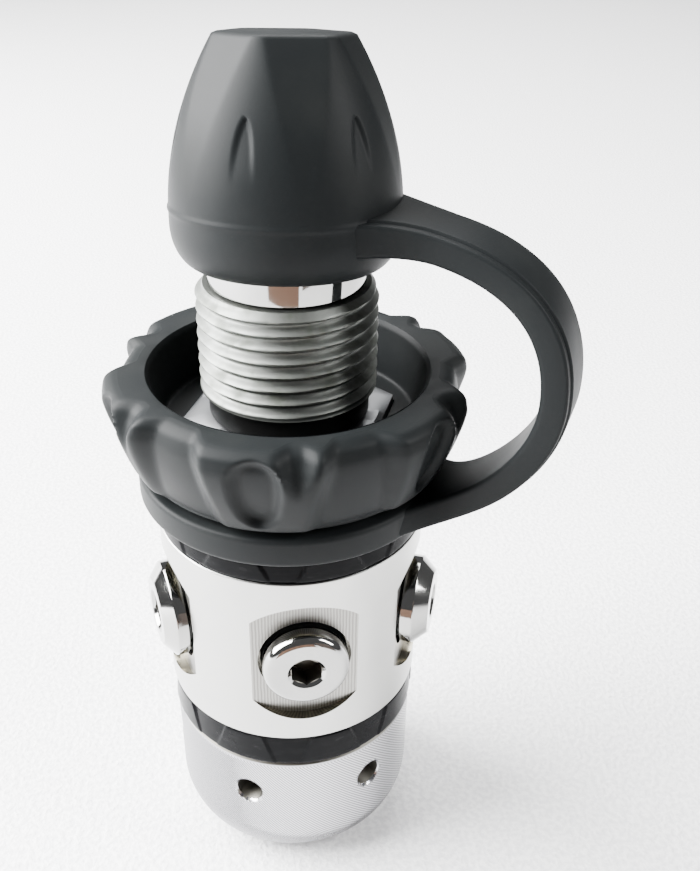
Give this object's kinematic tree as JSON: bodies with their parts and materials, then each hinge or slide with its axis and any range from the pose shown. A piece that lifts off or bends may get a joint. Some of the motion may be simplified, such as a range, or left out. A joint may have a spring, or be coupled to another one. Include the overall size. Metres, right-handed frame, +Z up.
{
  "type": "scuba regulator first stage",
  "caption": "DIN scuba regulator first stage with chromed body, black handwheel, blanked ports and a tethered rubber dust cap, standing on its end cap.",
  "frame": {"origin": "centre of the end cap's flat base, which the object stands on", "axes": "+Z up the body to the inlet; -Y out of the front port"},
  "size_m": [0.0583, 0.0474, 0.1187],
  "materials": {
    "pearl_chrome": "satin pearl chrome on brass",
    "knurled_chrome": "satin chrome with a fine diamond knurl",
    "polished_chrome": "polished chrome",
    "thread_metal": "dull, slightly tarnished metal",
    "black_gloss": "gloss black",
    "black_rubber": "semi-matte charcoal moulded rubber",
    "seal_rubber": "smooth black",
    "steel": "turned stainless steel",
    "brass": "turned brass",
    "seat_plastic": "plain moulded"
  },
  "bodies": {
    "first_stage": {"body": "pearl_chrome", "end_cap": "knurled_chrome", "lower_trim_band": "black_gloss", "upper_trim_band": "black_gloss", "piston_stem_oring": "seal_rubber", "orifice": "steel", "orifice_oring": "seal_rubber", "main_spring": "steel", "spring_washer": "steel", "din_stem": "polished_chrome", "stem_base_oring": "seal_rubber", "inlet_filter": "brass", "filter_clip": "steel", "din_face_oring": "seal_rubber", "thrust_washer": "seat_plastic", "front_low_pressure_plug": "polished_chrome", "front_low_pressure_plug_oring": "seal_rubber", "right_low_pressure_plug": "polished_chrome", "right_low_pressure_plug_oring": "seal_rubber", "rear_right_low_pressure_plug": "polished_chrome", "rear_right_low_pressure_plug_oring": "seal_rubber", "rear_left_low_pressure_plug": "polished_chrome", "rear_left_low_pressure_plug_oring": "seal_rubber", "left_high_pressure_plug": "polished_chrome", "left_high_pressure_plug_oring": "seal_rubber"},
    "piston_set": {"piston": "brass", "high_pressure_seat": "seat_plastic", "piston_head_oring": "seal_rubber"},
    "handwheel": {"coupling_screw": "thread_metal", "coupling_collar": "black_rubber", "handwheel_grip": "black_rubber"},
    "strap_set": {"strap_ring": "black_rubber", "strap": "black_rubber"},
    "cap_set": {"dust_cap": "black_rubber"}
  },
  "joints": [
    {"name": "handwheel_spin", "type": "hinge", "parent": "first_stage", "child": "handwheel", "pos_m": [0, 0, 0.078], "axis": [0, 0, 1], "continuous": true},
    {"name": "strap_swivel", "type": "hinge", "parent": "first_stage", "child": "strap_set", "pos_m": [0, 0, 0.0626], "axis": [0, 0, 1], "continuous": true},
    {"name": "cap_lift", "type": "slide", "parent": "strap_set", "child": "cap_set", "axis": [0.0174, 0.1112, 0.9937], "range_m": [0, 0.03]},
    {"name": "piston_slide", "type": "slide", "parent": "first_stage", "child": "piston_set", "axis": [0, 0, 1], "range_m": [0, 0.001], "stiffness_N_per_m": 200, "springref_m": -0.01, "deforming": ["main_spring"]}
  ]
}
